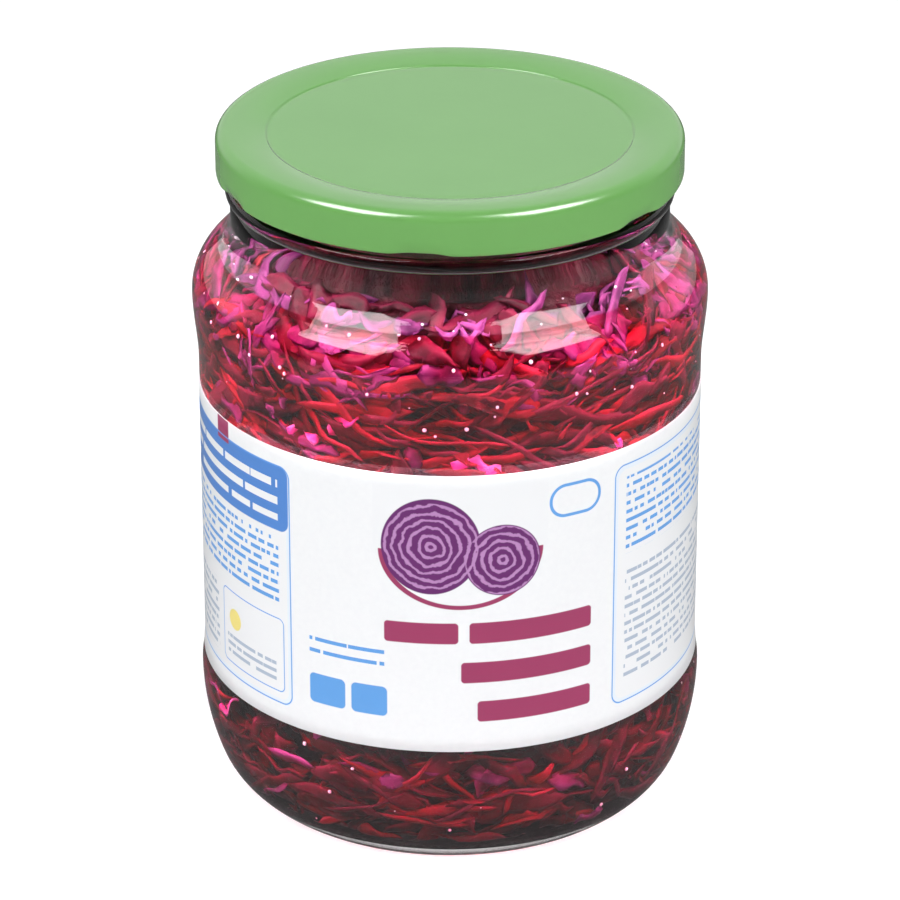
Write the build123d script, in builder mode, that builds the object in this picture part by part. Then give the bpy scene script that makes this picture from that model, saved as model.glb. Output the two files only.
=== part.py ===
from build123d import *
import os
from math import asin, cos, degrees, radians, sin, sqrt

# A shut glass jar of shredded red cabbage in brine: a blown jar with a full heel and shoulder,
# a straight panel for the wrap-round label, and a pressed tinplate twist-off lid.
# Millimetres, +Z up, origin at the middle of the base; the label's face looks along -Y.

# ---------------------------------------------------------------- driving dimensions
# Jar, outside
jar_height = 130.2  # base to the sealing rim
panel_radius = 46.65  # straight wall under the label
heel_swell = 0.7  # how far the heel stands proud of the panel
heel_swell_height = 23.9  # level of the heel's fullest ring
heel_radius = 45.0  # long curve below the fullest ring
heel_knee_height = 8.0  # where the long curve passes into the foot's curve
foot_curve_radius = 14.5  # tight curve down to the bearing ring
panel_bottom = 29.6  # level where the heel has run out into the panel
shoulder_swell = 0.95  # how far the shoulder stands proud of the panel
shoulder_lead = 13.0  # length over which the panel swells to the shoulder
shoulder_radius = 10.5  # convex curve over the top of the shoulder
shoulder_slope = 44.0  # degrees from upright at the steepest place
neck_curve_radius = 6.0  # hollow curve into the neck
neck_inset = 6.35  # panel radius less neck radius
neck_length = 16.0  # rim down to the end of the hollow curve

# Jar, finish under the lid
finish_inset = 0.4  # neck radius less the radius of the finish
bead_swell = 0.9  # how far the transfer bead stands proud of the neck
bead_height = 2.8
bead_drop = 8.5  # rim down to the top of the bead
rim_rounding = 0.6

# Jar, inside
wall_thickness = 2.4
base_thickness = 4.5
floor_rise = 1.6  # the floor inside is a little higher in the middle
floor_rounding = 6.0  # round corner between floor and wall
bearing_width = 3.2  # flat ring that the jar stands on
push_up = 3.0  # hollow of the base, at its middle

# Contents
headspace = 23.5  # rim down to the brine
mound_count = 11
mound_radius = 17.0  # roundness of each lump of cabbage
mound_rise = 4.2  # highest lump above the brine
lump_margin = 9.0  # middles of the outermost lumps in from the wall

# Label
label_thickness = 0.15
label_lap = 2.2  # label's lower edge below the start of the panel
label_top_margin = 4.1  # label's upper edge below the end of the panel

# Lid
lid_height = 8.2
lid_sheet = 0.5
lid_crown = 1.1  # sheet and seal together, above the glass rim
skirt_clearance = 2.35  # inside of the skirt clear of the finish
lid_edge_radius = 2.0
lid_ridge_width = 3.6  # flat top of the raised ring, inward from the edge curve
lid_slope_width = 3.8  # slope from the raised ring to the sunken panel
lid_panel_drop = 0.9
curl_radius = 0.7  # rolled lower edge
lug_count = 6
lug_start = -97.0  # degrees, direction of the first lug
lug_width = 9.5
lug_height = 1.5
lug_clearance = 0.45  # tip of the lug clear of the finish
lug_dent_depth = 0.85
lug_dent_height = 2.2
lug_dent_radius = 20.0
lug_dent_below = 6.0  # middle of the dent's ball below the lid's lower edge

# ---------------------------------------------------------------- dependent sizes
neck_radius = panel_radius - neck_inset
finish_radius = neck_radius - finish_inset
bore_radius = neck_radius - wall_thickness
heel_full_radius = panel_radius + heel_swell
shoulder_full_radius = panel_radius + shoulder_swell

slope = radians(shoulder_slope)
curve_inset = (shoulder_radius + neck_curve_radius) * (1 - cos(slope))
slope_length = (shoulder_full_radius - neck_radius - curve_inset) / sin(slope)
curve_rise = (shoulder_radius + neck_curve_radius) * sin(slope)
neck_bottom = jar_height - neck_length
shoulder_full_height = neck_bottom - curve_rise - slope_length * cos(slope)
panel_top = shoulder_full_height - shoulder_lead

knee = asin((heel_swell_height - heel_knee_height) / heel_radius)
heel_centre = (heel_full_radius - heel_radius, heel_swell_height)
foot_centre = (
    heel_centre[0] + (heel_radius - foot_curve_radius) * cos(knee),
    heel_centre[1] - (heel_radius - foot_curve_radius) * sin(knee),
)
shoulder_centre = (shoulder_full_radius - shoulder_radius, shoulder_full_height)
neck_centre = (neck_radius + neck_curve_radius, neck_bottom)

brine_level = jar_height - headspace
label_bottom = panel_bottom - label_lap
label_top = panel_top - label_top_margin

lid_top = jar_height + lid_crown
lid_bottom = lid_top - lid_height
skirt_inner_radius = finish_radius + skirt_clearance
lid_radius = skirt_inner_radius + lid_sheet
ridge_inner_radius = lid_radius - lid_edge_radius - lid_ridge_width
lid_panel_radius = ridge_inner_radius - lid_slope_width
lug_tip_radius = finish_radius + lug_clearance


def wall(inset, lowest):
    """Outline of the jar's wall from the level `lowest` to the neck, moved in by `inset`.
    Full curves lose the inset from their radius and hollow ones gain it.
    Returns the lowest and the highest point."""
    foot_end = asin((foot_centre[1] - lowest) / (foot_curve_radius - inset))
    foot = CenterArc(
        foot_centre, foot_curve_radius - inset, -degrees(foot_end), degrees(foot_end - knee)
    )
    heel = CenterArc(heel_centre, heel_radius - inset, -degrees(knee), degrees(knee))
    into_panel = Spline(
        heel @ 1, (panel_radius - inset, panel_bottom), tangents=[(0, 1), (0, 1)]
    )
    panel = Line(into_panel @ 1, (panel_radius - inset, panel_top))
    swell = Spline(
        panel @ 1,
        (shoulder_full_radius - inset, shoulder_full_height),
        tangents=[(0, 1), (0, 1)],
    )
    shoulder = CenterArc(shoulder_centre, shoulder_radius - inset, 0, shoulder_slope)
    neck = CenterArc(
        neck_centre, neck_curve_radius + inset, 180 + shoulder_slope, -shoulder_slope
    )
    Line(shoulder @ 1, neck @ 0)
    return foot @ 0, neck @ 1


def crown(edge_radius, edge_height, rise):
    """Low round arch from the axis out to a rim, `rise` higher in the middle."""
    arch_radius = (edge_radius**2 + rise**2) / (2 * rise)
    spread = degrees(asin(edge_radius / arch_radius))
    return CenterArc((0, edge_height + rise - arch_radius), arch_radius, 90, -spread)


# ---------------------------------------------------------------- outlines
# Solid outside of the jar, with its hollow base and its finish.
with BuildSketch(Plane.XZ) as outer_outline:
    with BuildLine():
        foot, neck = wall(0, 0)
        hollow = crown(foot.X - bearing_width, 0, push_up)
        Line(hollow @ 1, foot)
        bead_top = jar_height - bead_drop
        below_bead = Line(neck, (neck_radius, bead_top - bead_height))
        bead = ThreePointArc(
            below_bead @ 1,
            (neck_radius + bead_swell, bead_top - bead_height / 2),
            (finish_radius, bead_top),
        )
        finish = Line(bead @ 1, (finish_radius, jar_height))
        rim = Line(finish @ 1, (0, jar_height))
        Line(rim @ 1, hollow @ 0)
    make_face()
    outer_rim = outer_outline.vertices().group_by(Axis.Y)[-1].sort_by(Axis.X)[-1]
    fillet(outer_rim, rim_rounding)

# Space inside the jar, straight up through the bore.
with BuildSketch(Plane.XZ) as inner_outline:
    with BuildLine():
        corner, bore = wall(wall_thickness, base_thickness)
        floor = crown(corner.X, base_thickness, floor_rise)
        shaft = Line(bore, (bore_radius, jar_height))
        mouth = Line(shaft @ 1, (0, jar_height))
        Line(mouth @ 1, floor @ 0)
    make_face()
    inner_corner = inner_outline.vertices().group_by(Axis.Y)[0]
    fillet(inner_corner, floor_rounding)

# ---------------------------------------------------------------- glass jar
with BuildPart() as glass_jar:
    add(outer_outline.sketch)
    revolve(axis=Axis.Z)
    with BuildSketch(Plane.XZ):
        add(inner_outline.sketch_local)
    revolve(axis=Axis.Z, mode=Mode.SUBTRACT)
    bore_rim = glass_jar.edges().filter_by(GeomType.CIRCLE).group_by(Axis.Z)[-1]
    fillet(bore_rim.sort_by(SortBy.RADIUS)[0], rim_rounding)

# ---------------------------------------------------------------- cabbage in its brine
# The brine fills the jar to its level, and lumps of cabbage rise out of it unevenly.
golden_turn = 180 * (3 - sqrt(5))
lump_reach = bore_radius - lump_margin
with BuildPart() as contents:
    with BuildSketch(Plane.XZ) as filling:
        add(inner_outline.sketch_local)
        with Locations((0, brine_level)):
            Rectangle(
                2 * panel_radius, jar_height, align=(Align.CENTER, Align.MIN), mode=Mode.SUBTRACT
            )
    revolve(axis=Axis.Z)
    for lump in range(mound_count):
        out = lump_reach * sqrt((lump + 0.5) / mound_count)
        turn = radians(golden_turn * lump)
        rise = mound_rise * (0.65 + 0.35 * sin(2.3 * lump))
        with Locations((out * cos(turn), out * sin(turn), brine_level + rise - mound_radius)):
            Sphere(mound_radius)
    with BuildSketch(Plane.XZ):
        add(inner_outline.sketch_local)
    revolve(axis=Axis.Z, mode=Mode.INTERSECT)

# ---------------------------------------------------------------- label
with BuildPart() as label:
    with BuildSketch(Plane.XZ) as label_section:
        with Locations((label_thickness, 0)):
            add(outer_outline.sketch_local)
        add(outer_outline.sketch_local, mode=Mode.SUBTRACT)
        with Locations((neck_radius, label_bottom)):
            Rectangle(
                2 * neck_inset, label_top - label_bottom, align=Align.MIN, mode=Mode.INTERSECT
            )
    revolve(axis=Axis.Z)

# ---------------------------------------------------------------- lid
with BuildPart() as lid:
    with BuildSketch(Plane.XZ) as lid_section:
        with BuildLine():
            panel = Line((0, lid_top - lid_panel_drop), (lid_panel_radius, lid_top - lid_panel_drop))
            rise = Spline(panel @ 1, (ridge_inner_radius, lid_top), tangents=[(1, 0), (1, 0)])
            ridge = Line(rise @ 1, (lid_radius - lid_edge_radius, lid_top))
            edge = CenterArc(
                (lid_radius - lid_edge_radius, lid_top - lid_edge_radius), lid_edge_radius, 90, -90
            )
            skirt = Line(edge @ 1, (lid_radius, lid_bottom + curl_radius))
            curl = CenterArc(
                (lid_radius - curl_radius, lid_bottom + curl_radius), curl_radius, 0, -180
            )
            curl_top = Line(curl @ 1, (lid_radius - 2 * curl_radius, lid_bottom + 2 * curl_radius))
            ledge = Line(curl_top @ 1, (skirt_inner_radius, lid_bottom + 2 * curl_radius))
            inside = Line(ledge @ 1, (skirt_inner_radius, jar_height))
            seal = Line(inside @ 1, (ridge_inner_radius, jar_height))
            under_panel = lid_top - lid_panel_drop - lid_sheet
            under_rise = Spline(
                seal @ 1, (lid_panel_radius, under_panel), tangents=[(-1, 0), (-1, 0)]
            )
            under = Line(under_rise @ 1, (0, under_panel))
            Line(under @ 1, panel @ 0)
        make_face()
    revolve(axis=Axis.Z)
    dent_radius_at_edge = sqrt(lug_dent_radius**2 - (lug_dent_below + lug_dent_height) ** 2)
    with PolarLocations(0, lug_count, start_angle=lug_start):
        with Locations((lid_radius + dent_radius_at_edge, 0, lid_bottom - lug_dent_below)):
            Sphere(lug_dent_radius, mode=Mode.SUBTRACT)
        with Locations((lug_tip_radius, 0, lid_bottom)):
            Box(
                lid_radius - curl_radius - lug_tip_radius,
                lug_width,
                lug_height,
                align=(Align.MIN, Align.CENTER, Align.MIN),
            )

# ---------------------------------------------------------------- output
glass_jar.part.label = "glass_jar"
contents.part.label = "contents"
label.part.label = "label"
lid.part.label = "lid"

os.makedirs("parts", exist_ok=True)
export_step(glass_jar.part, "parts/glass_jar.step")
export_step(contents.part, "parts/contents.step")
export_step(label.part, "parts/label.step")
export_step(lid.part, "parts/lid.step")
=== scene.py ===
# %% [markdown]
# # A jar of fermented red cabbage
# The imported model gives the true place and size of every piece. This lesson dresses it: clear
# glass, a red brine that swallows light, cabbage shreds packed against the wall, a printed paper
# label and a lacquered lid. Everything below is worked out as surfaces of two parameters.

# %% Load the frame
import bmesh
import bpy
import numpy as np
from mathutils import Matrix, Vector


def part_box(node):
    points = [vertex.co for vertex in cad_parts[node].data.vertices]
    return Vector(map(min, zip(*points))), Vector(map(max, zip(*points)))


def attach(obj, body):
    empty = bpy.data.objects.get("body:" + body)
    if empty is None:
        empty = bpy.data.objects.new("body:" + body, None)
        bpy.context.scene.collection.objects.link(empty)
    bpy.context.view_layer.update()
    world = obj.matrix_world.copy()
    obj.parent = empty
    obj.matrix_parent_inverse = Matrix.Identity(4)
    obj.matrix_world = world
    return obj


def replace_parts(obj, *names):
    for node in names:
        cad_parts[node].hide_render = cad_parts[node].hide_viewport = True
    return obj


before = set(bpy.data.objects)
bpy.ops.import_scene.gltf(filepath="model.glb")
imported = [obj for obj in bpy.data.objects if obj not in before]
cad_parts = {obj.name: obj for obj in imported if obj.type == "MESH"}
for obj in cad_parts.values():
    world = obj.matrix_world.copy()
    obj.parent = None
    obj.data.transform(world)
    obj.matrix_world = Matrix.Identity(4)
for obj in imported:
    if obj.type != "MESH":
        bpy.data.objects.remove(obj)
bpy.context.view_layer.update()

MM = 0.001
jar_low, jar_high = (np.array(c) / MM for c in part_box("glass_jar"))
label_low, label_high = (np.array(c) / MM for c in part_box("label"))
lid_low, lid_high = (np.array(c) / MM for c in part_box("lid"))
filling_high = np.array(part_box("contents")[1]) / MM
print("jar", jar_low, jar_high, "label", label_low, label_high, "lid", lid_low, lid_high)

# %% [markdown]
# ## One tool for every shape
# A grid of points becomes a mesh: the first index runs round the jar, the second along the
# outline. Spin tools could turn the outline too, but whole arrays let a surface also ripple with
# the angle, as pressed metal and blown glass do.


# %% Surface helpers
def surface(name, points, round_closed=False, uv=None):
    """Mesh of a grid of points (i round, j along), in millimetres. Quads join neighbours; a row
    that shrinks to one point is welded into a pole."""
    steps, rows = points.shape[:2]
    i = np.arange(steps if round_closed else steps - 1)
    j = np.arange(rows - 1)
    a, b = np.meshgrid(i, j, indexing="ij")
    n = (a + 1) % steps
    quads = np.stack([a * rows + b, n * rows + b, n * rows + b + 1, a * rows + b + 1], -1)
    return mesh_object(name, points.reshape(-1, 3), quads.reshape(-1, 4), uv)


def mesh_object(name, points, quads, uv=None, weld=True):
    """Object from vertices in millimetres and four-cornered faces, shaded smooth."""
    mesh = bpy.data.meshes.new(name)
    mesh.from_pydata((points * MM).tolist(), [], quads.tolist())
    if uv is not None:
        layer = mesh.uv_layers.new(name="plan")
        layer.data.foreach_set("uv", uv.reshape(-1, 2)[quads.ravel()].astype(np.float32).ravel())
    thing = bpy.data.objects.new(name, mesh)
    bpy.context.scene.collection.objects.link(thing)
    if weld:
        cage = bmesh.new()
        cage.from_mesh(mesh)
        bmesh.ops.remove_doubles(cage, verts=cage.verts, dist=1e-7)
        cage.to_mesh(mesh)
        cage.free()
    mesh.polygons.foreach_set("use_smooth", np.ones(len(mesh.polygons), bool))
    print(name, len(mesh.vertices), "points", len(mesh.polygons), "faces")
    return thing


def turned(radius, height, steps=192):
    """Points of a turned shape: (r cos u, r sin u, z) for u once round, from r and z along the
    outline. r may have a column for each step round."""
    u = np.linspace(0, 2 * np.pi, steps, endpoint=False)[:, None]
    r = np.broadcast_to(radius, (steps, np.shape(height)[-1]))
    z = np.broadcast_to(height, r.shape)
    return np.stack([r * np.cos(u), r * np.sin(u), z], -1)


def arc(centre, radius, start, end, count=14):
    """Points on a circle about centre, from angle start to end in degrees, in the r-z plane."""
    t = np.radians(np.linspace(start, end, count))
    return np.stack([centre[0] + radius * np.cos(t), centre[1] + radius * np.sin(t)], -1)


def ease(start, end, count=10):
    """S-shaped run between two points: upright at both ends, by 3s^2 - 2s^3."""
    s = np.linspace(0, 1, count)[:, None]
    start = np.array(start)
    end = np.array(end)
    mix = np.concatenate([3 * s**2 - 2 * s**3, s], 1)
    return start + (end - start) * mix


def outline(*runs):
    """One outline from several runs of points, without the doubled joints."""
    line = np.concatenate([np.atleast_2d(run) for run in runs])
    keep = np.r_[True, np.hypot(*np.diff(line, axis=0).T) > 1e-4]
    return line[keep].T


# %% [markdown]
# ## Glass
# A press-and-blow jar is one wall of glass about 2.4 mm thick. Inside and outside are the same
# outline at two insets, which keeps refraction true: a solid block of glass would magnify. A
# little waviness, far too small to see as a dent, breaks up the reflections as real glass does.

# %% Sizes of the jar
WALL = 2.4
FLOOR = 4.5
JAR_TOP = jar_high[2]
SHOULDER_R = jar_high[0]
PANEL_R = SHOULDER_R - 0.95
HEEL_R = PANEL_R + 0.7
NECK_R = PANEL_R - 6.35
NECK_Z = JAR_TOP - 16.0
SLOPE = 44.0
SHOULDER_CURVE = 10.5
NECK_CURVE = 6.0
HEEL_CURVE = 45.0
FOOT_CURVE = 14.5
HEEL_Z = 23.9
KNEE_Z = 8.0
PANEL_LOW = 29.6
PANEL_FADE = 13.0
BEARING = 3.2
PUSH_UP = 3.0
FLOOR_RISE = 1.6
FINISH_IN = 0.4
RIM = 0.6
BEAD_DROP = 9.9
BEAD_HALF = 1.4
BEAD_OUT = 1.05
BEAD_SINK = 0.15
BEAD_STEP = 1.5
slope = np.radians(SLOPE)
both = SHOULDER_CURVE + NECK_CURVE
straight = (SHOULDER_R - NECK_R - both * (1 - np.cos(slope))) / np.sin(slope)
SHOULDER_Z = NECK_Z - both * np.sin(slope) - straight * np.cos(slope)
knee = np.arcsin((HEEL_Z - KNEE_Z) / HEEL_CURVE)
FOOT_AT = np.array([HEEL_R - HEEL_CURVE, HEEL_Z]) + (HEEL_CURVE - FOOT_CURVE) * np.array(
    [np.cos(knee), -np.sin(knee)]
)


def wall(inset, lowest):
    """Outline of the wall from a level up to the neck, moved in by inset: foot curve, heel curve,
    panel, swell, shoulder curve and hollow neck curve."""
    foot_end = -np.degrees(np.arcsin((FOOT_AT[1] - lowest) / (FOOT_CURVE - inset)))
    return outline(
        arc(FOOT_AT, FOOT_CURVE - inset, foot_end, -np.degrees(knee), 14),
        arc((HEEL_R - HEEL_CURVE, HEEL_Z), HEEL_CURVE - inset, -np.degrees(knee), 0, 12),
        ease((HEEL_R - inset, HEEL_Z), (PANEL_R - inset, PANEL_LOW)),
        ease((PANEL_R - inset, SHOULDER_Z - PANEL_FADE), (SHOULDER_R - inset, SHOULDER_Z)),
        arc((SHOULDER_R - SHOULDER_CURVE, SHOULDER_Z), SHOULDER_CURVE - inset, 0, SLOPE, 16),
        arc((NECK_R + NECK_CURVE, NECK_Z), NECK_CURVE + inset, 180 + SLOPE, 180, 12),
    )


# %% The glass piece
def glass_outline():
    """Closed outline: hollow of the base, outside up to the rim, and back down the inside."""
    outer_r, outer_z = wall(0, 0)
    inner_r, inner_z = wall(WALL, FLOOR)
    ring = outer_r[0] - BEARING
    hollow_r = np.linspace(0, ring, 12)
    hollow_z = PUSH_UP * (1 - (hollow_r / ring) ** 2)
    floor_r = np.linspace(inner_r[0], 0, 12)
    floor_z = FLOOR + FLOOR_RISE * (1 - (floor_r / inner_r[0]) ** 2)
    finish_r = NECK_R - FINISH_IN
    bead = np.radians(np.linspace(-90, 90, 12))
    bead_z = JAR_TOP - BEAD_DROP
    bead_r = NECK_R - BEAD_SINK + BEAD_OUT * np.cos(bead)
    bead_at = np.stack([bead_r, bead_z + BEAD_HALF * np.sin(bead)], -1)
    return outline(
        np.stack([hollow_r, hollow_z], -1),
        np.stack([outer_r, outer_z], -1),
        (NECK_R, bead_z - BEAD_STEP),
        bead_at,
        (finish_r, bead_z + BEAD_STEP),
        arc((finish_r - RIM, JAR_TOP - RIM), RIM, 0, 90, 5),
        arc((NECK_R - WALL + RIM, JAR_TOP - RIM), RIM, 90, 180, 5),
        np.stack([inner_r, inner_z], -1)[::-1],
        np.stack([floor_r, floor_z], -1),
    )


GLASS_STEPS = 240
GLASS_WAVE = 0.02
glass_r, glass_z = glass_outline()
turn = np.linspace(0, 2 * np.pi, GLASS_STEPS, endpoint=False)[:, None]
wave = GLASS_WAVE * np.sin(3 * turn + 0.06 * glass_z) * np.sin(0.11 * glass_z + 1)
mid_wall = (glass_z > 20) & (glass_z < JAR_TOP - 12)
glass = surface("glass", turned(glass_r - np.abs(wave) * mid_wall, glass_z, GLASS_STEPS), True)

# %% [markdown]
# ## Materials as small graphs
# A helper writes node graphs as short lines. Numbers that are the same all over are set on the
# shader's own sockets, so they survive in other programs.


# %% Node helpers
class Graph:
    """Node graph of one material, with short calls for mathematics, noise and mixing."""

    def __init__(self, name):
        self.material = bpy.data.materials.new(name)
        self.material.use_nodes = True
        self.nodes = self.material.node_tree.nodes
        self.links = self.material.node_tree.links
        self.shader = self.nodes["Principled BSDF"]
        self.output = self.nodes["Material Output"]
        self.spot = self.add("ShaderNodeTexCoord").outputs["Object"]

    def add(self, kind, **values):
        """A new node, with its settings."""
        node = self.nodes.new(kind)
        for key, value in values.items():
            setattr(node, key, value)
        return node

    def plug(self, value, socket):
        """Links an output to a socket, or sets the socket to a plain value."""
        if isinstance(value, bpy.types.NodeSocket):
            self.links.new(value, socket)
        else:
            socket.default_value = value

    def math(self, kind, *values, clamp=False):
        """Output of one mathematics node."""
        node = self.add("ShaderNodeMath", operation=kind, use_clamp=clamp)
        for value, socket in zip(values, node.inputs):
            self.plug(value, socket)
        return node.outputs[0]

    def mix(self, share, first, second):
        """Colour between two tints: the first at share 0, the second at share 1."""
        node = self.add("ShaderNodeMix", data_type="RGBA")
        self.plug(share, node.inputs["Factor"])
        for value, socket in ((first, node.inputs[6]), (second, node.inputs[7])):
            self.plug((*value, 1) if isinstance(value, tuple) else value, socket)
        return node.outputs[2]

    def noise(self, scale, detail=3.0, at=None, roughness=0.5):
        """Cloudy noise, at so many lumps to the metre unless another place is given."""
        node = self.add("ShaderNodeTexNoise")
        self.plug(self.spot if at is None else at, node.inputs["Vector"])
        for key, value in (("Scale", scale), ("Detail", detail), ("Roughness", roughness)):
            node.inputs[key].default_value = value
        return node.outputs["Fac"]

    def ramp(self, value, low, high, to_low=0.0, to_high=1.0):
        """Straight-line change from to_low to to_high while value goes from low to high."""
        node = self.add("ShaderNodeMapRange")
        for key, x in (("Value", value), ("From Min", low), ("From Max", high),
                       ("To Min", to_low), ("To Max", to_high)):
            self.plug(x, node.inputs[key])
        return node.outputs[0]

    def bump(self, height, strength, distance):
        """Fine relief on the shader, from a height."""
        node = self.add("ShaderNodeBump")
        node.inputs["Strength"].default_value = strength
        node.inputs["Distance"].default_value = distance
        self.plug(height, node.inputs["Height"])
        self.plug(node.outputs[0], self.shader.inputs["Normal"])

    def set(self, **values):
        """Sets or links the shader's sockets by name."""
        for key, value in values.items():
            self.plug(value, self.shader.inputs[key.replace("_", " ")])
        return self

    def pass_lamps(self):
        """Lets rays from the lamps through, so that what is inside is lit."""
        path = self.add("ShaderNodeLightPath")
        clear = self.add("ShaderNodeBsdfTransparent")
        mixer = self.add("ShaderNodeMixShader")
        self.plug(path.outputs["Is Shadow Ray"], mixer.inputs[0])
        self.plug(self.shader.outputs[0], mixer.inputs[1])
        self.plug(clear.outputs[0], mixer.inputs[2])
        self.plug(mixer.outputs[0], self.output.inputs["Surface"])
        return self


def finish_piece(thing, node_slot, *graphs):
    """Gives a piece its material and lets it ride with the jar. node_slot is not used."""
    for graph in graphs:
        thing.data.materials.append(graph.material)
    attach(thing, "root")
    return thing


# %% Clear glass
clear = Graph("clear_glass")
clear.set(Base_Color=(0.97, 0.985, 0.98, 1), Roughness=0.0, IOR=1.5, Transmission_Weight=1.0)
clear.bump(clear.noise(55, 2), 0.06, 0.002)
clear.pass_lamps()
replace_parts(finish_piece(glass, "glass", clear), "glass_jar")

# %% [markdown]
# ## Brine
# The brine is a closed body that reaches a little way into the glass wall, so that no film of air
# shows between them. It creeps up the glass at its edge. Its colour is absorption: each
# millimetre takes out green first, then blue. A painted surface would hide the shreds instead.

# %% The brine piece
BRINE_Z = JAR_TOP - 23.5
REACH = 0.25
CREEP_UP = 0.9
CREEP_WIDTH = 1.6
fill_r, fill_z = wall(WALL - REACH, FLOOR - REACH)
under = fill_z < BRINE_Z
floor_r = np.linspace(0, fill_r[0], 12)
floor_z = FLOOR - REACH + FLOOR_RISE * (1 - (floor_r / fill_r[0]) ** 2)
edge_r = np.interp(BRINE_Z, fill_z, fill_r)
top_r = np.linspace(edge_r, 0, 30)
top_z = BRINE_Z + CREEP_UP * np.exp(-(edge_r - top_r) / CREEP_WIDTH)
brine_r, brine_z = outline(
    np.stack([floor_r, floor_z], -1),
    np.stack([fill_r[under], fill_z[under]], -1),
    np.stack([top_r, top_z], -1),
)
brine = surface("brine", turned(brine_r, brine_z, 160), True)
wine = Graph("brine_red")
wine.set(Base_Color=(1.0, 0.92, 0.95, 1), Roughness=0.02, IOR=1.33, Transmission_Weight=1.0)
wine.bump(wine.noise(160, 2), 0.12, 0.001)
wine.pass_lamps()
depth = wine.add("ShaderNodeVolumeAbsorption")
depth.inputs["Color"].default_value = (0.86, 0.12, 0.40, 1)
depth.inputs["Density"].default_value = 760
wine.plug(depth.outputs[0], wine.output.inputs["Volume"])
finish_piece(brine, "cabbage", wine)

# %% [markdown]
# ## The heap inside
# What can't be seen between the shreds is one dark core: filling the jar with real leaves to the
# middle would cost much and show nothing. Its near-black colour is painted shade, the dark of the
# heap's inside where little light gets. It follows the inside of the wall a few millimetres
# in, is lumpy, and has an uneven top that stands a little out of the brine.

# %% The core
draw = np.random.default_rng(7)
CORE_GAP = 5.5
CORE_STEPS = 160


def inner_radius(z):
    """Radius of the inside of the wall at a level."""
    line_r, line_z = wall(WALL, FLOOR)
    return np.interp(z, line_z, line_r)


core_z = np.linspace(FLOOR + 3, BRINE_Z + 4, 70)
u = np.linspace(0, 2 * np.pi, CORE_STEPS, endpoint=False)[:, None]
lumps = 1.1 * np.sin(9 * u + 0.21 * core_z) * np.sin(0.33 * core_z + 2 * np.sin(2 * u))
core_r = inner_radius(core_z) - CORE_GAP + lumps
share = np.linspace(1, 0, 26)
roof = 2.6 * np.sin(5 * u + 3 * share) * np.cos(7 * share + 2 * u) * share + 1.6
roof_r = core_r[:, -1:] * share
roof_z = core_z[-1] + roof * np.minimum(1, (1 - share) * 8)
base_r = core_r[:, :1] * np.linspace(0, 1, 10)[:-1]
base_z = np.full(base_r.shape, core_z[0])
side_z = np.tile(core_z, (CORE_STEPS, 1))
core_points = turned(
    np.concatenate([base_r, core_r, roof_r[:, 1:]], 1),
    np.concatenate([base_z, side_z, roof_z[:, 1:]], 1),
    CORE_STEPS,
)
core_points[:, 0] = core_points[:, 0].mean(0)
core_points[:, -1] = core_points[:, -1].mean(0)
core = surface("cabbage_core", core_points, True)
# The core's near-black tints are painted shade of the heap's inside.
dark = Graph("cabbage_core_painted_shade")
dark_mix = dark.ramp(dark.noise(180, 4), 0.35, 0.7)
dark.set(Base_Color=dark.mix(dark_mix, (0.015, 0.001, 0.003), (0.08, 0.004, 0.012)), Roughness=0.4)
dark.shader.inputs["Specular IOR Level"].default_value = 0.03
dark.bump(dark.noise(420, 4), 0.7, 0.002)
finish_piece(core, "cabbage", dark)

# %% [markdown]
# ## Shreds
# Each shred is a flattened tube along a bent line that hugs the wall: its place is an arc length
# round the jar, a height and a depth behind the glass. Real shreds are sliced leaf: long, limp,
# tapered and twisted. Modelling one and copying it would repeat itself to the eye, so hundreds
# are made at once as one array, each with its own numbers, a piece for each kind.


# %% Shred helper
SPREAD_R = 44
SKIN_GAP = 0.15
LOWEST_SHRED = FLOOR + 1.8
HIGHEST_SHRED = filling_high[2] + 2.0


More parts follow.
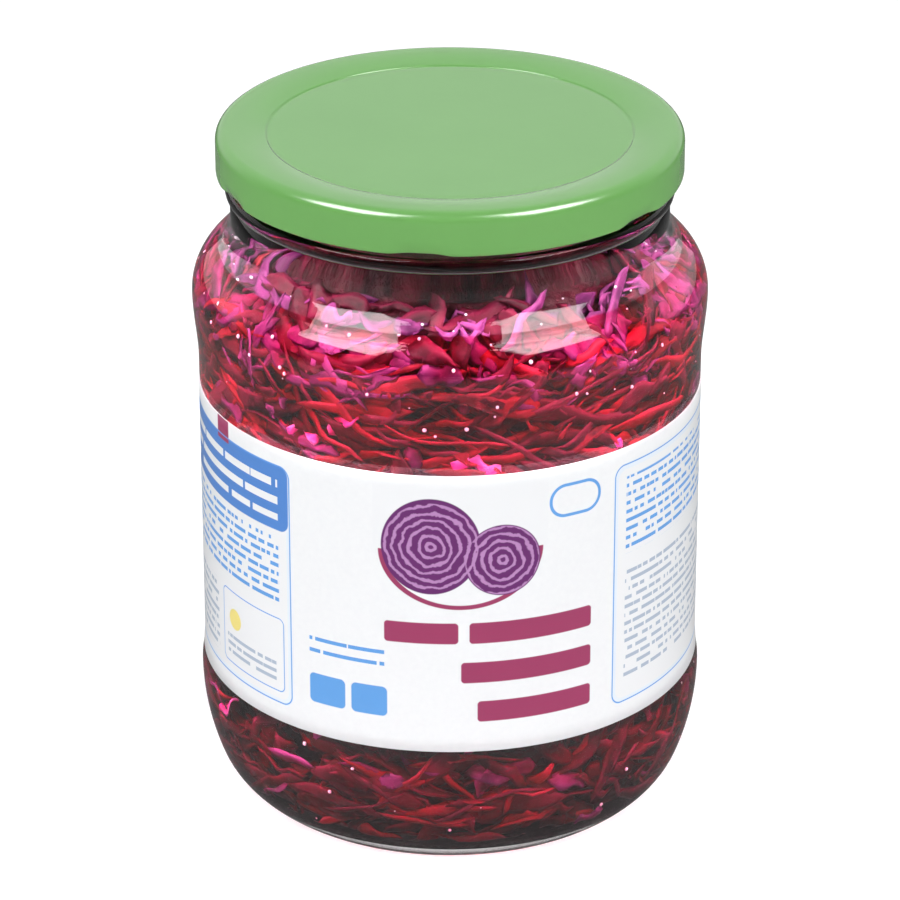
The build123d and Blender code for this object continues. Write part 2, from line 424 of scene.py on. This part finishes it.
def shreds(name, count, length, width, thick, level, depth, tilt, curl, steps=10, sides=6):
    """count shreds. Along s from -1 to 1 the midline is centre + half length * s in direction
    tilt, bent by curl * s^2 and a small wave; across, an ellipse width by thick, twisted with s,
    that narrows to the ends by the square root of 1 - s^4. Returns the mesh object."""
    def spread(span):
        return draw.uniform(*span, (count, 1, 1))

    s = np.linspace(-1, 1, steps)[None, :, None]
    a = np.linspace(0, 2 * np.pi, sides, endpoint=False)[None, None, :]
    half = spread(length) / 2
    lean = draw.normal(0, tilt, (count, 1, 1))
    bend = draw.normal(0, curl, (count, 1, 1))
    twist = draw.normal(0, 0.8, (count, 1, 1)) + draw.normal(0, 0.9, (count, 1, 1)) * s
    ripple = spread((0.0, 0.8)) * np.sin(spread((3, 7)) * s + spread((0, 6)))
    along = half * s
    side = bend * half * s**2 + ripple
    round_at = spread((0, 2 * np.pi)) * SPREAD_R + along * np.cos(lean) - side * np.sin(lean)
    z_at = spread(level) + along * np.sin(lean) + side * np.cos(lean)
    deep = spread(depth) + spread((0, 1.4)) * np.sin(spread((2, 5)) * s + spread((0, 6)))
    taper = np.sqrt(np.clip(1 - s**4, 0.0, 1))
    w = spread(width) / 2 * taper * (1 + 0.25 * np.sin(5 * s + spread((0, 6))))
    h = spread(thick) / 2 * taper
    flat = w * np.cos(a)
    edge = h * np.sin(a)
    across = flat * np.cos(twist) - edge * np.sin(twist)
    inward = flat * np.sin(twist) + edge * np.cos(twist)
    ring = round_at - across * np.sin(lean)
    z = z_at + across * np.cos(lean)
    z = np.clip(z, LOWEST_SHRED, HIGHEST_SHRED)
    reach = inner_radius(z) - np.maximum(deep + inward, SKIN_GAP)
    where = ring / SPREAD_R
    points = np.stack([reach * np.cos(where), reach * np.sin(where), z], -1)
    n, j, k = np.meshgrid(np.arange(count), np.arange(steps - 1), np.arange(sides), indexing="ij")
    first = (n * steps + j) * sides
    k2 = (k + 1) % sides
    quads = np.stack([first + k, first + sides + k, first + sides + k2, first + k2], -1)
    uv = np.stack(np.broadcast_arrays((s + 1) / 2 + 0 * a, (np.cos(a) + 1) / 2), -1)
    uv = np.tile(uv, (count, 1, 1, 1))
    return mesh_object(name, points.reshape(-1, 3), quads.reshape(-1, 4), uv)


# %% Cabbage colours
def cabbage(name, deep, body, pale, shine=0.42):
    """Wet leaf: mottled between three tints, paler along one edge of each shred, as cut ribs are."""
    leaf = Graph(name)
    plan = leaf.add("ShaderNodeUVMap", uv_map="plan").outputs[0]
    split = leaf.add("ShaderNodeSeparateXYZ")
    leaf.plug(plan, split.inputs[0])
    patch = leaf.ramp(leaf.noise(95, 3), 0.36, 0.66)
    streak = leaf.ramp(leaf.noise(520, 3), 0.5, 0.75)
    tint = leaf.mix(patch, deep, body)
    edge = leaf.ramp(split.outputs[1], 0.55, 1.0)
    tint = leaf.mix(leaf.math("MULTIPLY", edge, 0.65), tint, pale)
    tint = leaf.mix(leaf.math("MULTIPLY", streak, 0.35), tint, pale)
    leaf.set(Base_Color=tint, Roughness=shine)
    leaf.shader.inputs["Specular IOR Level"].default_value = 0.03
    leaf.bump(leaf.noise(900, 3), 0.35, 0.0006)
    return leaf


violet = cabbage("leaf_violet", (0.05, 0.004, 0.03), (0.17, 0.014, 0.09), (0.28, 0.045, 0.17))
red = cabbage("leaf_red", (0.05, 0.002, 0.005), (0.27, 0.006, 0.018), (0.34, 0.015, 0.04))
magenta = cabbage("leaf_magenta", (0.40, 0.02, 0.18), (0.65, 0.05, 0.32), (0.75, 0.20, 0.48))
# The last leaf is a darker copy of the red one: painted shade of the heap.
shaded_red = cabbage("leaf_red_painted_shade", (0.022, 0.001, 0.004), (0.10, 0.004, 0.016), (0.18, 0.010, 0.035))

# %% Scatter the shreds
LOW = FLOOR + 2
HIGH = filling_high[2] - 1
BEND = 0.16
# The darker red shreds are painted shade. The lowest band has far more of them than of the red ones,
# which paints the bottom darker.
kinds = [
    ("shreds_violet_top", violet, 420, (6, 20), (1.6, 4.6), (0.5, 1.1), (97, HIGH), (0.4, 5), 0.6),
    ("shreds_shaded_top", shaded_red, 260, (6, 20), (1.6, 5.0), (0.5, 1.1), (96, HIGH), (0.4, 5), 0.6),
    ("shreds_red_upper", red, 420, (8, 30), (1.4, 3.6), (0.5, 1.1), (76, 103), (0.5, 5), 0.3),
    ("shreds_shaded_upper", shaded_red, 420, (8, 26), (1.8, 5.0), (0.5, 1.2), (76, 103), (0.3, 5), 0.4),
    ("shreds_red_lower", red, 150, (7, 22), (1.4, 3.4), (0.5, 1.1), (LOW, 34), (1.0, 5), 0.4),
    ("shreds_shaded_lower", shaded_red, 480, (7, 24), (1.8, 5.0), (0.5, 1.2), (LOW, 34), (0.5, 5), 0.5),
    ("shreds_violet_low", violet, 130, (6, 18), (1.6, 4.6), (0.5, 1.0), (LOW, 98), (0.5, 3), 0.6),
    ("bits_magenta", magenta, 30, (5, 11), (2.0, 4.0), (0.5, 1.0), (LOW, HIGH), (0.3, 1.6), 0.6),
]
for name, graph, count, length, width, thick, level, behind, tilt in kinds:
    piece = shreds(name, count, length, width, thick, level, behind, tilt, BEND)
    finish_piece(piece, "cabbage", graph)
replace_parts(brine, "contents")

# %% [markdown]
# ## Bubbles
# Fermenting vegetables give off gas, so fine bubbles cling behind the glass. They are tiny round
# shells of a few faces, all in one mesh, because nobody sees more of them than a bright dot. Their
# pale colour is a painted glint, standing in for the light that a clear bubble reflects.

# %% Bubbles
HIGH_BUBBLES = 110
LOW_BUBBLES = 40
BUBBLES = HIGH_BUBBLES + LOW_BUBBLES
BUBBLE_GAP = 0.35
size = draw.uniform(0.12, 0.42, (BUBBLES, 1, 1))
lat = np.linspace(-np.pi / 2, np.pi / 2, 5)[None, None, :]
lon = np.linspace(0, 2 * np.pi, 7)[None, :, None]
b_z = np.r_[draw.uniform(88, 112, HIGH_BUBBLES), draw.uniform(LOW, 30, LOW_BUBBLES)][:, None, None]
b_turn = draw.uniform(0, 2 * np.pi, (BUBBLES, 1, 1))
b_r = inner_radius(b_z) - BUBBLE_GAP
bubble_points = np.stack([
    b_r * np.cos(b_turn) + size * np.cos(lat) * np.cos(lon),
    b_r * np.sin(b_turn) + size * np.cos(lat) * np.sin(lon),
    b_z + size * np.sin(lat) + 0 * lon,
], -1)
n, j, k = np.meshgrid(np.arange(BUBBLES), np.arange(6), np.arange(4), indexing="ij")
at = (n * 7 + j) * 5 + k
bubbles = mesh_object("bubbles", bubble_points.reshape(-1, 3),
                      np.stack([at, at + 5, at + 6, at + 1], -1).reshape(-1, 4))
bubble_glint = Graph("bubble_painted_glint")
bubble_glint.shader.inputs["Specular IOR Level"].default_value = 0.1
# The pale tint is a painted glint, in place of light reflected by a clear bubble.
glint_tint = bubble_glint.mix(bubble_glint.noise(900), (0.75, 0.45, 0.6), (1.0, 0.9, 0.95))
bubble_glint.set(Base_Color=glint_tint, Roughness=0.1)
finish_piece(bubbles, "cabbage", bubble_glint)

# %% [markdown]
# ## Label
# Paper wraps the panel and laps over itself at the back. Its plan is in millimetres: the first
# coordinate runs round from the middle of the front, the second up from the lower edge. The print
# is made of fields and bars worked out from that plan, with nothing to read.

# %% The label piece
LABEL_LOW = label_low[2]
LABEL_TOP = label_high[2]
PAPER_OUT = 0.08
PAPER_SINK = 0.05
LAP = 5.0
LAP_START = np.pi * PANEL_R - 1.0
LAP_STEP = 0.06
around = np.linspace(-np.pi * PANEL_R, np.pi * PANEL_R + LAP, 420)
up = np.linspace(LABEL_LOW, LABEL_TOP, 22)
skin_r, skin_z = wall(0, 0)
skin = np.interp(up, skin_z, skin_r)
angle = around / PANEL_R - np.pi / 2
over = np.clip(around - LAP_START, 0, 1)[:, None] * LAP_STEP
r_out = skin + PAPER_OUT + over
r_in = skin - PAPER_SINK + 2 * over
shell_r = np.concatenate([r_out, r_in[:, ::-1], r_out[:, :1]], 1)
shell_z = np.concatenate([up, up[::-1], up[:1]])
shell = np.stack([shell_r * np.cos(angle)[:, None], shell_r * np.sin(angle)[:, None],
                  np.broadcast_to(shell_z, shell_r.shape)], -1)
plan = np.stack([np.broadcast_to(around[:, None], shell_r.shape),
                 np.broadcast_to(shell_z - LABEL_LOW, shell_r.shape)], -1)
label = surface("label_paper", shell, False, plan)

# %% Print on the label
paper = Graph("label_print")
plan_node = paper.add("ShaderNodeUVMap", uv_map="plan")
parts = paper.add("ShaderNodeSeparateXYZ")
paper.plug(plan_node.outputs[0], parts.inputs[0])
X = parts.outputs[0]
Y = parts.outputs[1]
M = paper.math


def distance_box(x0, x1, y0, y1, corner):
    """Distance in millimetres to a rounded box: length of what is beyond its core, less the
    corner's radius."""
    def beyond(value, low, high):
        off = M("ABSOLUTE", M("SUBTRACT", value, (low + high) / 2))
        return M("MAXIMUM", M("SUBTRACT", off, (high - low) / 2 - corner), 0.0)
    qx = beyond(X, x0, x1)
    qy = beyond(Y, y0, y1)
    far = M("SQRT", M("ADD", M("MULTIPLY", qx, qx), M("MULTIPLY", qy, qy)))
    return M("SUBTRACT", far, corner)


def inside(distance, soft=0.08):
    """1 inside a shape and 0 outside, with a soft edge."""
    return paper.ramp(distance, soft, -soft)


def field(x0, x1, y0, y1, corner=0.6):
    """A filled, rounded box of print."""
    return inside(distance_box(x0, x1, y0, y1, corner))


def frame_line(x0, x1, y0, y1, corner, line):
    """Outline of a rounded box: where the distance is within half a line's width of its edge."""
    edge = M("ABSOLUTE", distance_box(x0, x1, y0, y1, corner))
    return inside(M("SUBTRACT", edge, line / 2), 0.05)


def distance_disc(x, y, radius, squash=1.0):
    """Distance to a round or squashed disc: length from its middle, less its radius."""
    dx = M("SUBTRACT", X, x)
    dy = M("MULTIPLY", M("SUBTRACT", Y, y), squash)
    far = M("SQRT", M("ADD", M("MULTIPLY", dx, dx), M("MULTIPLY", dy, dy)))
    return M("SUBTRACT", far, radius)


def bars(x0, x1, y0, y1, pitch, fill=0.42, gap=0.42, grain=0.9):
    """Rows of word-like bars: a stripe each pitch, broken where a noise along the row is low."""
    row = M("FRACT", M("DIVIDE", Y, pitch))
    stripe = M("LESS_THAN", row, fill)
    where = paper.add("ShaderNodeCombineXYZ")
    paper.plug(M("MULTIPLY", X, grain), where.inputs[0])
    paper.plug(M("MULTIPLY", M("FLOOR", M("DIVIDE", Y, pitch)), 5.7), where.inputs[1])
    words = M("GREATER_THAN", paper.noise(1.0, 0, where.outputs[0]), gap)
    return M("MULTIPLY", M("MULTIPLY", stripe, words), field(x0, x1, y0, y1, 0.1))


WHITE = (0.86, 0.875, 0.895)
TINT = (0.80, 0.865, 0.93)
BACK_TINT = (0.82, 0.87, 0.93)
SKY = (0.11, 0.36, 0.80)
BLUE = (0.07, 0.24, 0.66)
BERRY = (0.36, 0.030, 0.12)
PLUM = (0.14, 0.010, 0.15)
LILAC = (0.50, 0.24, 0.52)
SUN = (0.90, 0.76, 0.22)
GREY = (0.42, 0.50, 0.62)
tone = paper.mix(paper.ramp(paper.noise(900, 2), 0.3, 0.7), WHITE, (0.88, 0.895, 0.91))
ink = [
    (field(-77, -31, 3.5, 52, 2.2), TINT),
    (field(32, 78, 3.5, 52, 2.2), TINT),
    (field(-76, -32, 4.5, 51, 1.8), WHITE),
    (field(33, 77, 4.5, 51, 1.8), WHITE),
    (field(-77, -31.5, 39, 52, 2.0), BLUE),
    (bars(-74, -34, 41, 50, 3.4, 0.45, 0.38, 0.5), WHITE),
    (field(-53, -48.5, 51, 55.4, 0.2), BERRY),
    (frame_line(-76.8, -31.2, 3.7, 52, 2.2, 0.28), SKY),
    (frame_line(32.2, 77.8, 3.7, 52, 2.2, 0.28), SKY),
    (bars(-74, -34, 24, 37.5, 1.75, 0.45), SKY),
    (frame_line(-52, -33, 6, 21, 1.2, 0.22), SKY),
    (inside(distance_disc(-47.5, 15.5, 2.1)), SUN),
    (bars(-50.5, -35, 7.5, 12, 1.6, 0.45), GREY),
    (bars(-74, -54.5, 6, 21, 1.75, 0.45), GREY),
    (bars(35, 75, 34, 49.5, 1.75, 0.42), SKY),
    (bars(35, 75, 8, 31, 1.75, 0.42), GREY),
    (bars(-27, -12, 16.2, 21, 2.4, 0.32, 0.3, 0.8), SKY),
    (field(-27, -19.6, 6.5, 12.5, 1.0), SKY),
    (field(-18.4, -11.5, 6.5, 12.5, 1.0), SKY),
    (field(-12, 1.5, 22.0, 26.2, 0.7), BERRY),
    (field(3.5, 27, 22.0, 26.2, 0.7), BERRY),
    (field(2, 27, 14.0, 18.2, 0.7), BERRY),
    (field(5, 27, 6.0, 10.2, 0.7), BERRY),
    (inside(M("SUBTRACT", M("ABSOLUTE", distance_disc(2, 40.5, 14.5, 1.3)), 0.55)), BERRY),
    (field(-14, 18, 40.5, 55, 0.2), WHITE),
    (inside(distance_disc(-3.5, 41.5, 9.0, 0.95)), PLUM),
    (inside(distance_disc(9.5, 38.5, 7.0, 1.0)), PLUM),
    (frame_line(18.5, 28.5, 45.5, 51.5, 2.9, 0.6), SKY),
    (field(97, 142, 6, 50, 1.5), BACK_TINT),
    (bars(100, 139, 9, 47, 2.2, 0.42), SKY),
    (field(-140, -97, 6, 50, 1.5), BACK_TINT),
    (bars(-137, -100, 9, 47, 2.2, 0.42), GREY),
]
for mask, colour in ink:
    tone = paper.mix(mask, tone, colour)
for x, y, radius in ((-3.5, 41.5, 8.6), (9.5, 38.5, 6.8)):
    rings = M("SINE", M("ADD", M("MULTIPLY", distance_disc(x, y, 0.0), 4.2),
                        M("MULTIPLY", paper.noise(380, 3), 9.0)))
    leaf_share = M("MULTIPLY", paper.ramp(rings, 0.1, 0.7), inside(distance_disc(x, y, radius)))
    tone = paper.mix(leaf_share, tone, LILAC)
paper.set(Base_Color=tone, Roughness=0.34)
paper.shader.inputs["Coat Weight"].default_value = 0.15
paper.bump(paper.noise(1400, 3), 0.05, 0.0004)
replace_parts(finish_piece(label, "label", paper), "label")

# %% [markdown]
# ## Lid
# The lid is drawn from one sheet: a raised ring that holds the seal over the glass rim, a panel
# sunk inside it, an upright skirt and a rolled lower edge, pinched in at each lug. One outline
# turned round would miss the pinches, so radius and height also change with the angle.

# %% The lid piece
LID_R = lid_high[0]
LID_TOP = lid_high[2]
LID_LOW = lid_low[2]
EDGE = 2.0
CURL = 0.7
DROP = 0.9
SHEET = 0.5
ridge = LID_R - EDGE - 1.0
panel_edge = 33.4


def lid_outline():
    """Outside from the middle of the panel out over the ring and down the skirt, round the curl,
    then up inside and back under the panel. The surface takes it backwards, so faces point out."""
    s = np.linspace(0, 1, 16)
    rise_r = panel_edge + (ridge - panel_edge) * s
    rise_z = LID_TOP - DROP * (1 - s) ** 2
    groove_r = np.linspace(30.5, panel_edge, 8)
    groove_z = LID_TOP - DROP - 0.06 * np.exp(-((groove_r - 33.0) / 0.8) ** 2)
    return outline(
        np.stack([np.linspace(0, 30, 14), np.full(14, LID_TOP - DROP)], -1),
        np.stack([groove_r, groove_z], -1),
        np.stack([rise_r, rise_z], -1),
        arc((LID_R - EDGE, LID_TOP - EDGE), EDGE, 90, 0, 12),
        np.stack([np.full(8, LID_R), np.linspace(LID_TOP - EDGE, LID_LOW + CURL, 8)], -1),
        arc((LID_R - CURL, LID_LOW + CURL), CURL, 0, -180, 10),
        (LID_R - 2 * CURL, LID_LOW + 2 * CURL),
        (LID_R - SHEET, LID_LOW + 2 * CURL + 0.4),
        (LID_R - SHEET, LID_TOP - EDGE),
        (LID_R - 1.6, LID_TOP - 1.05),
        (ridge - 3.6, LID_TOP - 1.05),
        (panel_edge - 1, LID_TOP - DROP - 0.6),
        (0, LID_TOP - DROP - 0.6),
    )


lid_r, lid_z = lid_outline()
LID_STEPS = 360
LUGS = 6
FIRST_LUG = np.radians(-97)
LUG_HALF = 4.6
PINCH_HIGH = 2.6
PINCH_IN = 0.85
PINCH_UP = 0.2
SKIRT_ONLY = 35
u = np.linspace(0, 2 * np.pi, LID_STEPS, endpoint=False)[:, None]
off = (u - FIRST_LUG + np.pi / LUGS) % (2 * np.pi / LUGS) - np.pi / LUGS
near = np.exp(-((off * LID_R / LUG_HALF) ** 4))
low = np.clip(1 - (lid_z - LID_LOW) / PINCH_HIGH, 0, 1) ** 1.3 * (lid_r > SKIRT_ONLY)
pinched = lid_r - PINCH_IN * near * low
lifted = lid_z + PINCH_UP * near * low
lid = surface("lid_green", turned(pinched, lifted, LID_STEPS)[:, ::-1], True)
print("lid width", 2 * pinched.max(), "top", lid_z.max())

# %% Green lacquer
lacquer = Graph("green_lacquer")
mottle = lacquer.ramp(lacquer.noise(26, 3), 0.3, 0.7)
green = lacquer.mix(mottle, (0.150, 0.390, 0.100), (0.165, 0.410, 0.110))
lacquer.set(Base_Color=green, Roughness=0.16)
lacquer.shader.inputs["Specular IOR Level"].default_value = 0.5
lacquer.shader.inputs["Coat Weight"].default_value = 0.25
lacquer.shader.inputs["Coat Roughness"].default_value = 0.05
lacquer.bump(lacquer.noise(600, 2), 0.03, 0.0005)
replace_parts(finish_piece(lid, "lid", lacquer), "lid")

# %% [markdown]
# ## Studio
# Two soft boxes stand above the front, left and right. Each is two lamps in one place: a mild one
# that lights everything and a strong one that only shows as a gleam on glass and lacquer. The
# camera sees white behind; mirrors and glass see white at the back and dark in front, which draws
# the jar's edges. The floor is dim in reflections, so that it lays no veil over the dark filling.

# %% Floor and surround
floor_mesh = bpy.data.meshes.new("floor")
floor_mesh.from_pydata([(-3, -3, 0), (3, -3, 0), (3, 3, 0), (-3, 3, 0)], [], [(0, 1, 2, 3)])
floor = bpy.data.objects.new("floor", floor_mesh)
bpy.context.scene.collection.objects.link(floor)
ground = Graph("floor_white")
seen = ground.add("ShaderNodeLightPath")
plain = ground.mix(seen.outputs["Is Glossy Ray"], (0.93, 0.93, 0.93), (0.08, 0.08, 0.08))
ground.set(Base_Color=plain, Roughness=0.9)
glow = ground.math("MULTIPLY", seen.outputs["Is Camera Ray"], 0.24)
ground.plug((1, 1, 1, 1), ground.shader.inputs["Emission Color"])
ground.plug(glow, ground.shader.inputs["Emission Strength"])
floor_mesh.materials.append(ground.material)

world = bpy.data.worlds.new("studio")
bpy.context.scene.world = world
world.use_nodes = True
sky = world.node_tree
sky_path = sky.nodes.new("ShaderNodeLightPath")
heading = sky.nodes.new("ShaderNodeTexCoord")
split = sky.nodes.new("ShaderNodeSeparateXYZ")
sky.links.new(heading.outputs["Generated"], split.inputs[0])


def sky_math(kind, *values):
    """Output of one mathematics node of the surround."""
    node = sky.nodes.new("ShaderNodeMath")
    node.operation = kind
    for value, socket in zip(values, node.inputs):
        if isinstance(value, float):
            socket.default_value = value
        else:
            sky.links.new(value, socket)
    return node.outputs[0]


behind = sky.nodes.new("ShaderNodeMapRange")
sky.links.new(split.outputs[1], behind.inputs["Value"])
for key, value in (("From Min", 0.0), ("From Max", 0.6), ("To Min", 0.03), ("To Max", 0.85)):
    behind.inputs[key].default_value = value
mirrored = sky_math("MULTIPLY", sky_path.outputs["Is Glossy Ray"], behind.outputs[0])
matt = sky_math("MULTIPLY", sky_path.outputs["Is Diffuse Ray"], 0.5)
through = sky_math("MULTIPLY", sky_path.outputs["Is Transmission Ray"], behind.outputs[0])
clear_view = sky_math("MAXIMUM", sky_path.outputs["Is Camera Ray"], through)
strength = sky_math("MAXIMUM", sky_math("MAXIMUM", mirrored, matt), clear_view)
sky.links.new(strength, sky.nodes["Background"].inputs["Strength"])
sky.nodes["Background"].inputs["Color"].default_value = (1, 1, 1, 1)


# %% Lamps
FILL_POWER = 3.6
GLEAM_POWER = 52.0


def soft_box(name, place, power, gleam):
    """Rectangular lamp beside and above the front of the jar, aimed at its shoulder. Every lamp
    shows in reflections; a gleam lamp does nothing else."""
    lamp = bpy.data.lights.new(name, "AREA")
    lamp.shape = "RECTANGLE"
    lamp.size = 0.55
    lamp.size_y = 0.42
    lamp.energy = power
    thing = bpy.data.objects.new(name, lamp)
    bpy.context.scene.collection.objects.link(thing)
    thing.location = (place, -0.34, 0.76)
    aim = thing.location - Vector((0, 0, 0.105))
    thing.rotation_euler = aim.to_track_quat("Z", "Y").to_euler()
    thing.visible_diffuse = not gleam
    thing.visible_transmission = not gleam
    thing.visible_glossy = True
    return thing


for side, place in (("left", -0.51), ("right", 0.51)):
    soft_box(side + "_box", place, FILL_POWER, False)
    soft_box(side + "_gleam", place, GLEAM_POWER, True)

# %% Camera
camera_data = bpy.data.cameras.new("camera")
camera = bpy.data.objects.new("camera", camera_data)
bpy.context.scene.collection.objects.link(camera)
AWAY = 0.8564
RISE = np.radians(25.2)
AIM = 0.0661
camera_data.lens = 182.4
camera_data.clip_start = 0.05
camera.location = (0, -AWAY * np.cos(RISE), AIM + AWAY * np.sin(RISE))
camera.rotation_euler = (np.pi / 2 - RISE, 0, 0)
bpy.context.scene.camera = camera
bpy.context.scene.view_settings.view_transform = "Standard"

# %% Finish
bpy.context.view_layer.update()
